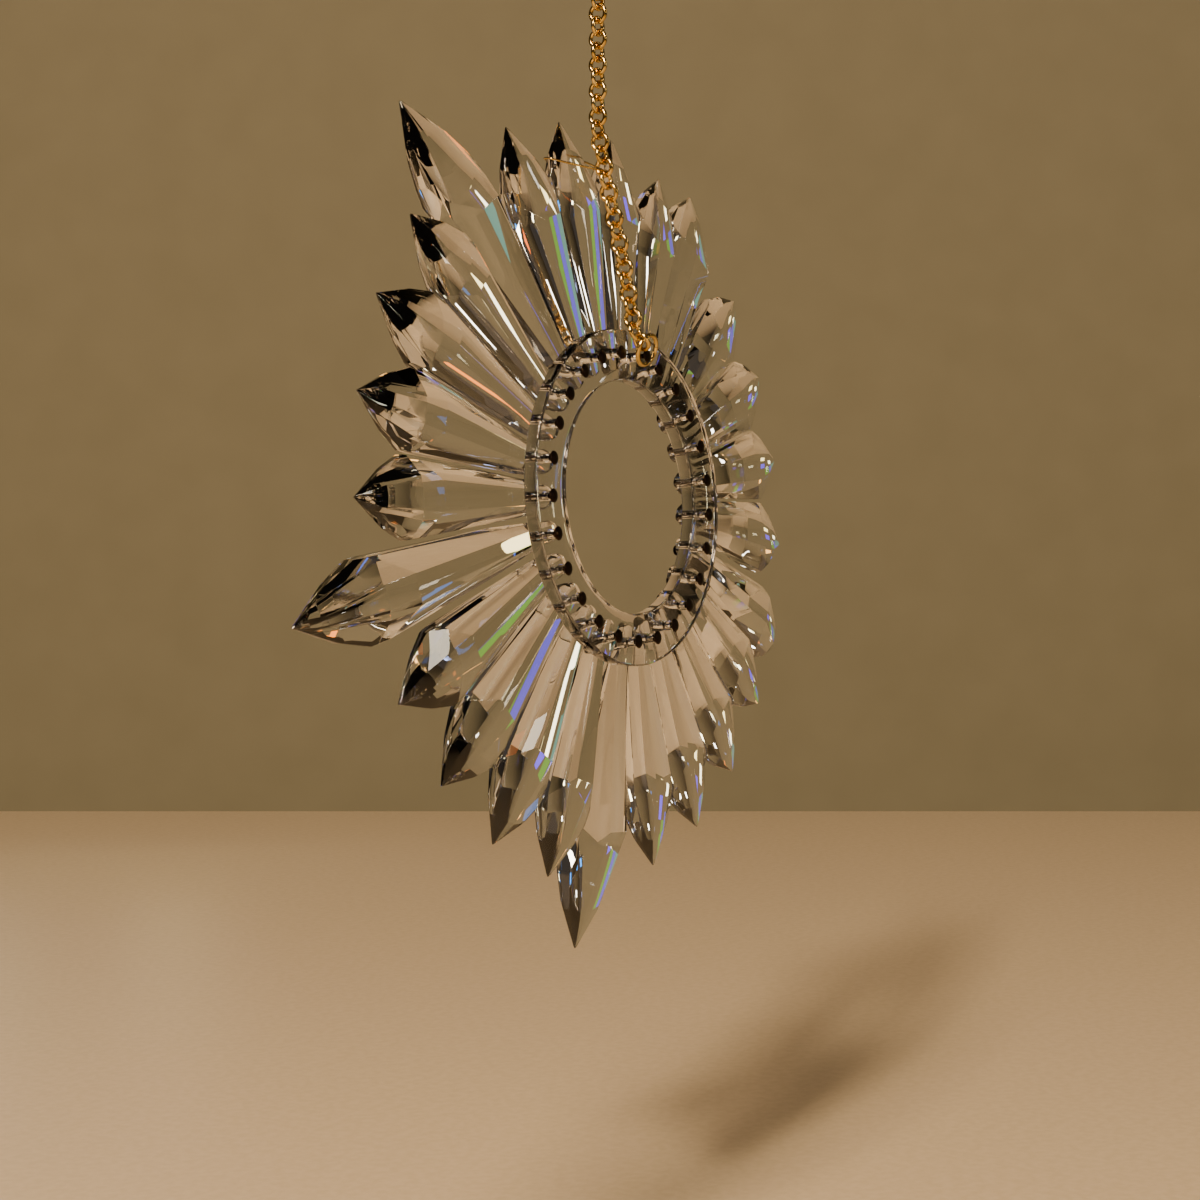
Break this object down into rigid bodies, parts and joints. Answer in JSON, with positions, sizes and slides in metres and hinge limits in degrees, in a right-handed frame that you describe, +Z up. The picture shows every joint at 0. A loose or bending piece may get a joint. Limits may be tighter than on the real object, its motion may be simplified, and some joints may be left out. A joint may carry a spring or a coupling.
{
  "type": "crystal suncatcher",
  "caption": "Sunburst of clear cut-crystal prisms pinned round a flat clear ring, hung from a hook by a fine gold chain to catch the sun.",
  "frame": {"origin": "the inside of the top of the hanging ring, where the hook bears", "axes": "+Z up along the hanging chain, -Y the way the sunburst's front faces, +X to the right seen from the front"},
  "size_m": [0.1292, 0.0196, 0.158],
  "materials": {
    "cut_crystal": "polished clear lead crystal, ground flat facets",
    "clear_acrylic": "clear polished sheet, cut to a flat ring",
    "dark_bronze": "near-black bronze patina",
    "gold_plate": "polished gold plate"
  },
  "bodies": {
    "root": {"prism_01": "cut_crystal", "prism_02": "cut_crystal", "prism_03": "cut_crystal", "prism_04": "cut_crystal", "prism_05": "cut_crystal", "prism_06": "cut_crystal", "prism_07": "cut_crystal", "prism_08": "cut_crystal", "prism_09": "cut_crystal", "prism_10": "cut_crystal", "prism_11": "cut_crystal", "prism_12": "cut_crystal", "prism_13": "cut_crystal", "prism_14": "cut_crystal", "prism_15": "cut_crystal", "prism_16": "cut_crystal", "prism_17": "cut_crystal", "prism_18": "cut_crystal", "prism_19": "cut_crystal", "prism_20": "cut_crystal", "prism_21": "cut_crystal", "prism_22": "cut_crystal", "prism_23": "cut_crystal", "prism_24": "cut_crystal", "prism_25": "cut_crystal", "clear_ring": "clear_acrylic", "pin_01": "dark_bronze", "pin_02": "dark_bronze", "pin_03": "dark_bronze", "pin_04": "dark_bronze", "pin_05": "dark_bronze", "pin_06": "dark_bronze", "pin_07": "dark_bronze", "pin_08": "dark_bronze", "pin_09": "dark_bronze", "pin_10": "dark_bronze", "pin_11": "dark_bronze", "pin_12": "dark_bronze", "pin_13": "dark_bronze", "pin_14": "dark_bronze", "pin_15": "dark_bronze", "pin_16": "dark_bronze", "pin_17": "dark_bronze", "pin_18": "dark_bronze", "pin_19": "dark_bronze", "pin_20": "dark_bronze", "pin_21": "dark_bronze", "pin_22": "dark_bronze", "pin_23": "dark_bronze", "pin_24": "dark_bronze", "pin_25": "dark_bronze", "chain": "gold_plate", "keeper_wire": "gold_plate", "lower_jump_ring": "gold_plate", "upper_jump_ring": "gold_plate", "hanging_ring": "gold_plate"}
  },
  "joints": []
}
